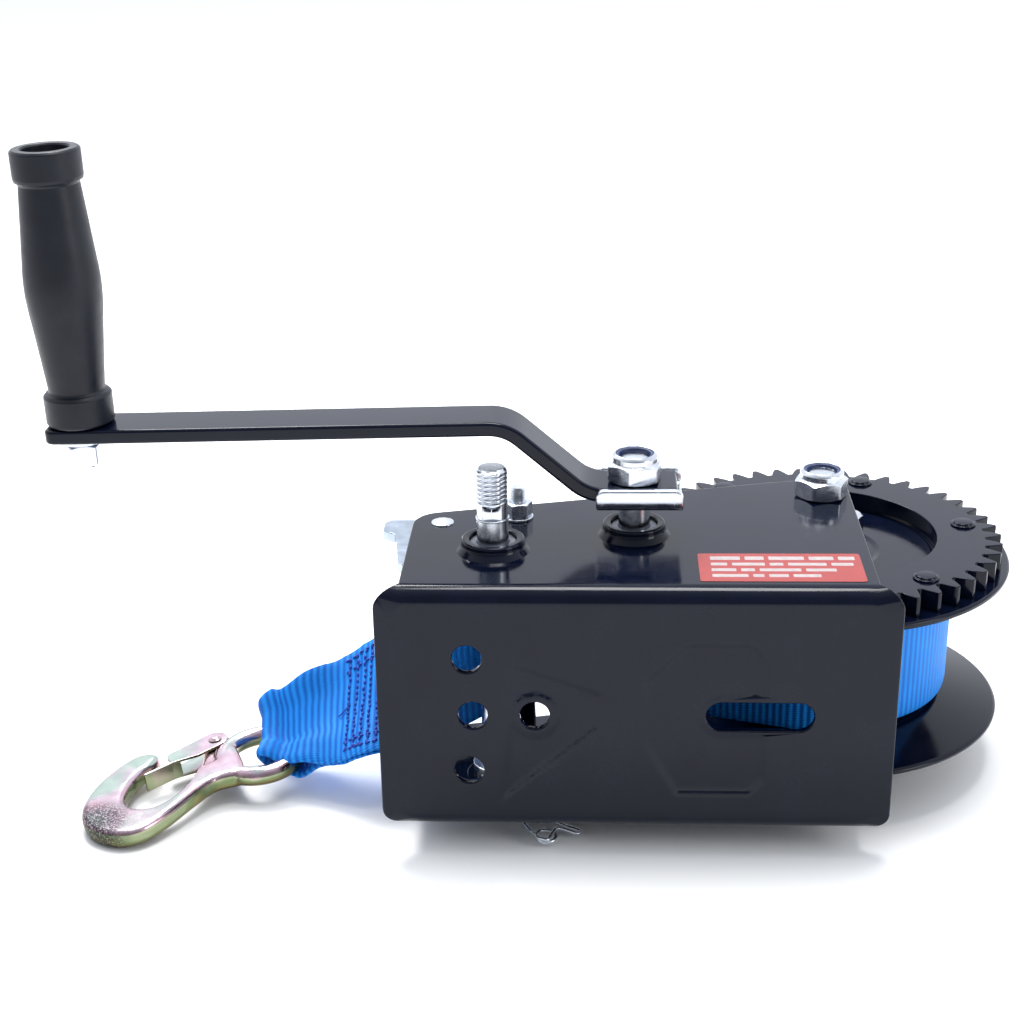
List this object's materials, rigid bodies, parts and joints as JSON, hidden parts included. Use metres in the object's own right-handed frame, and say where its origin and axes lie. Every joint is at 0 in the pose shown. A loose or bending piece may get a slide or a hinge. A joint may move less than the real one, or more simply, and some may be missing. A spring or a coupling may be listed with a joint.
{
  "type": "boat trailer winch",
  "caption": "Two-speed hand winch: pressed steel U frame, ring-geared drum wound with webbing, cranked handle with spinning grip, pawl, second drive shaft and latched snap hook.",
  "frame": {"origin": "centre of the base plate's outer mounting face", "axes": "+X along the base plate toward the drum, +Y away from the mounting face into the winch, +Z parallel to the shafts, out of the side plate that carries the crank"},
  "size_m": [0.3754, 0.1725, 0.259],
  "materials": {
    "black_paint": "gloss",
    "bright_zinc": "bright",
    "bush_steel": "oiled",
    "yellow_zinc": "iridescent yellow passivated",
    "blue_webbing": "woven",
    "black_plastic": "satin",
    "nylon": "matte",
    "red_sticker": "semi-gloss"
  },
  "bodies": {
    "winch_frame": {"frame": "black_paint", "rating_label": "red_sticker", "shaft_bushes": "bush_steel", "pawl_pin": "bright_zinc", "pawl_spring": "bright_zinc", "guide_bolt": "bright_zinc", "guide_nut": "bright_zinc", "guide_washer": "bright_zinc", "guide_sleeve": "black_paint", "guide_spacer": "bright_zinc", "axle_bolt": "bright_zinc", "axle_washer": "bright_zinc", "axle_nut": "bright_zinc", "axle_nut_insert": "nylon", "axle_sleeve": "bright_zinc", "strap_tail": "blue_webbing"},
    "drum": {"drum_gear": "black_paint", "upper_flange": "black_paint", "lower_flange": "black_paint", "drum_core": "black_paint", "drum_hubs": "black_paint", "gear_rivets": "black_paint", "strap_coil": "blue_webbing", "strap_anchor": "bright_zinc"},
    "crank": {"shaft_a": "bright_zinc", "pinion_a": "black_paint", "idler_gear": "black_paint", "spacer_a": "bright_zinc", "crank_arm": "black_paint", "crank_saddle": "bright_zinc", "crank_nut": "bright_zinc", "crank_nut_insert": "nylon", "grip_bolt": "bright_zinc", "grip_washer": "bright_zinc", "grip_nut": "bright_zinc"},
    "low_speed_shaft": {"shaft_b": "bright_zinc", "pinion_b": "black_paint", "spacer_b": "bright_zinc", "spring_clip": "bright_zinc"},
    "grip": {"grip": "black_plastic"},
    "pawl": {"pawl": "bright_zinc"},
    "hook": {"hook": "yellow_zinc", "latch_rivet": "yellow_zinc"},
    "latch": {"latch": "yellow_zinc"}
  },
  "joints": [
    {"name": "drum_spin", "type": "hinge", "parent": "winch_frame", "child": "drum", "pos_m": [0.0753, 0.09449, 0], "axis": [0, 0, 1], "continuous": true},
    {"name": "crank_spin", "type": "hinge", "parent": "winch_frame", "child": "crank", "pos_m": [0, 0.054, 0], "axis": [0, 0, 1], "continuous": true},
    {"name": "low_speed_spin", "type": "hinge", "parent": "winch_frame", "child": "low_speed_shaft", "pos_m": [-0.05311, 0.03789, 0], "axis": [0, 0, 1], "continuous": true},
    {"name": "grip_spin", "type": "hinge", "parent": "crank", "child": "grip", "pos_m": [-0.20972, 0.054, 0.09482], "axis": [-0.0183, 0, 0.9998], "continuous": true},
    {"name": "pawl_swing", "type": "hinge", "parent": "winch_frame", "child": "pawl", "pos_m": [-0.0743, 0.0644, 0.0406], "axis": [0, 0, 1], "range_deg": [-9, 2]},
    {"name": "hook_swing", "type": "hinge", "parent": "winch_frame", "child": "hook", "pos_m": [-0.13557, 0.05353, -0.04707], "axis": [-0.0833, 0.9965, 0], "range_deg": [-20, 30]},
    {"name": "latch_hinge", "type": "hinge", "parent": "hook", "child": "latch", "pos_m": [-0.17105, 0.06098, -0.0496], "axis": [-0.0838, -0.0615, 0.9946], "range_deg": [0, 22], "stiffness_Nm_per_rad": 0.012, "springref_deg": -14.32}
  ],
  "couplings": [
    {"joint": "crank_spin", "follows": "drum_spin", "ratio": -4.1818},
    {"joint": "low_speed_spin", "follows": "drum_spin", "ratio": 9.8843}
  ]
}
